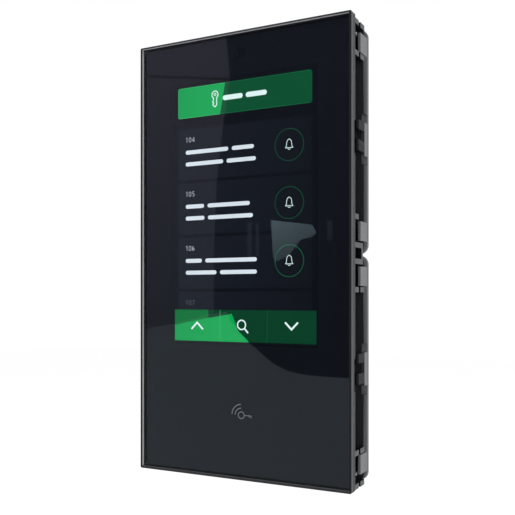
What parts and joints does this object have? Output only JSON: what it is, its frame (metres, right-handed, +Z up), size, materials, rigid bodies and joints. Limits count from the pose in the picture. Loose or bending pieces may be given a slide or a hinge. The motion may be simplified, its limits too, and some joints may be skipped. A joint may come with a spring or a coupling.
{
  "type": "door intercom",
  "caption": "Wall-mounted door intercom with a portrait touch display behind one glass front, a carrier, sliding side clips and rear housings.",
  "frame": {"origin": "centre of the rear face that lies on the wall, midway between the four wall bolt holes", "axes": "+Y into the wall, +Z up along the panel's height, +X to the right as seen from the front; the glass faces -Y"},
  "size_m": [0.193, 0.038, 0.356],
  "materials": {
    "housing_plastic": "fine moulded texture, charcoal",
    "pad_plastic": "smooth moulded, mid grey",
    "seal_rubber": "matt black rubber",
    "sheet_steel": "zinc plated sheet",
    "screw_steel": "bright turned steel",
    "circuit_board": "solder mask over glass laminate",
    "terminal_plastic": "moulded, green",
    "socket_shell": "plated shell",
    "clip_plastic": "moulded nylon, grey",
    "rim_metal": "dark anodised, satin",
    "front_glass": "toughened, dark, polished",
    "mask_ink": "printed black behind the glass",
    "touch_glass": "clear coated film",
    "display_surface": "dark polarised display",
    "carrier_plastic": "moulded, dark grey, satin",
    "frame_plastic": "moulded, black, fine texture",
    "cover_metal": "die-cast, grey",
    "gap_pad": "soft blue grey",
    "camera_plastic": "black moulded",
    "lens_glass": "coated lens",
    "coil_copper": "bare copper",
    "speaker_plastic": "black moulded",
    "contact_plastic": "moulded, sand",
    "plunger_plastic": "white acetal",
    "button_plastic": "red"
  },
  "bodies": {
    "rear_mount": {"rear_housing_upper": "housing_plastic", "rear_housing_lower": "housing_plastic", "wall_seal_upper": "seal_rubber", "wall_seal_lower": "seal_rubber", "side_pad_right_1": "pad_plastic", "side_pad_right_2": "pad_plastic", "side_pad_right_3": "pad_plastic", "side_pad_right_4": "pad_plastic", "side_pad_left_1": "pad_plastic", "side_pad_left_2": "pad_plastic", "side_pad_left_3": "pad_plastic", "side_pad_left_4": "pad_plastic", "link_plate": "sheet_steel", "link_screws": "screw_steel", "cable_grommet": "seal_rubber", "connection_board": "circuit_board", "terminal_block": "terminal_plastic", "network_socket": "socket_shell"},
    "front_unit": {"glass_seal": "seal_rubber", "glass_tape": "seal_rubber", "cover_gasket": "seal_rubber", "microphone_right": "seal_rubber", "microphone_left": "seal_rubber", "display_bracket_right": "sheet_steel", "display_bracket_left": "sheet_steel", "processor_shield": "sheet_steel", "display_backlight": "sheet_steel", "bracket_screws": "screw_steel", "cover_screws": "screw_steel", "board_screws": "screw_steel", "side_screws": "screw_steel", "main_board": "circuit_board", "infrared_board": "circuit_board", "reader_board": "circuit_board", "trim_frame": "rim_metal", "front_glass": "front_glass", "glass_mask": "mask_ink", "touch_panel": "touch_glass", "display_cell": "display_surface", "carrier_frame": "carrier_plastic", "inner_frame": "frame_plastic", "back_cover": "cover_metal", "heat_spreader": "cover_metal", "thermal_pad": "gap_pad", "camera_body": "camera_plastic", "light_sensor": "camera_plastic", "tamper_switch": "camera_plastic", "camera_lens": "lens_glass", "reader_coil": "coil_copper", "speaker": "speaker_plastic", "speaker_box": "speaker_plastic", "board_socket": "contact_plastic"},
    "clip_right_upper": {"clip_right_upper": "clip_plastic"},
    "clip_right_lower": {"clip_right_lower": "clip_plastic"},
    "clip_left_upper": {"clip_left_upper": "clip_plastic"},
    "clip_left_lower": {"clip_left_lower": "clip_plastic"},
    "tamper_plunger": {"tamper_plunger": "plunger_plastic"},
    "reset_button": {"reset_button": "button_plastic"},
    "lock_screw_right": {"lock_screw_right": "screw_steel"},
    "lock_screw_left": {"lock_screw_left": "screw_steel"}
  },
  "joints": [
    {"name": "front_release", "type": "slide", "parent": "rear_mount", "child": "front_unit", "axis": [0, -1, 0], "range_m": [0, 0.06]},
    {"name": "clip_right_upper_slide", "type": "slide", "parent": "rear_mount", "child": "clip_right_upper", "axis": [0, 0, 1], "range_m": [-0.006, 0.006]},
    {"name": "clip_right_lower_slide", "type": "slide", "parent": "rear_mount", "child": "clip_right_lower", "axis": [0, 0, 1], "range_m": [-0.006, 0.006]},
    {"name": "clip_left_upper_slide", "type": "slide", "parent": "rear_mount", "child": "clip_left_upper", "axis": [0, 0, 1], "range_m": [-0.006, 0.006]},
    {"name": "clip_left_lower_slide", "type": "slide", "parent": "rear_mount", "child": "clip_left_lower", "axis": [0, 0, 1], "range_m": [-0.006, 0.006]},
    {"name": "tamper_press", "type": "slide", "parent": "front_unit", "child": "tamper_plunger", "axis": [0, -1, 0], "range_m": [0, 0.0012], "stiffness_N_per_m": 300},
    {"name": "reset_press", "type": "slide", "parent": "front_unit", "child": "reset_button", "axis": [0, -1, 0], "range_m": [0, 0.0008], "stiffness_N_per_m": 300},
    {"name": "lock_screw_right_turn", "type": "hinge", "parent": "front_unit", "child": "lock_screw_right", "pos_m": [0.072, -0.0222, -0.174], "axis": [0, 0, 1], "range_deg": [0, 720]},
    {"name": "lock_screw_left_turn", "type": "hinge", "parent": "front_unit", "child": "lock_screw_left", "pos_m": [-0.072, -0.0222, -0.174], "axis": [0, 0, 1], "range_deg": [0, 720]}
  ]
}
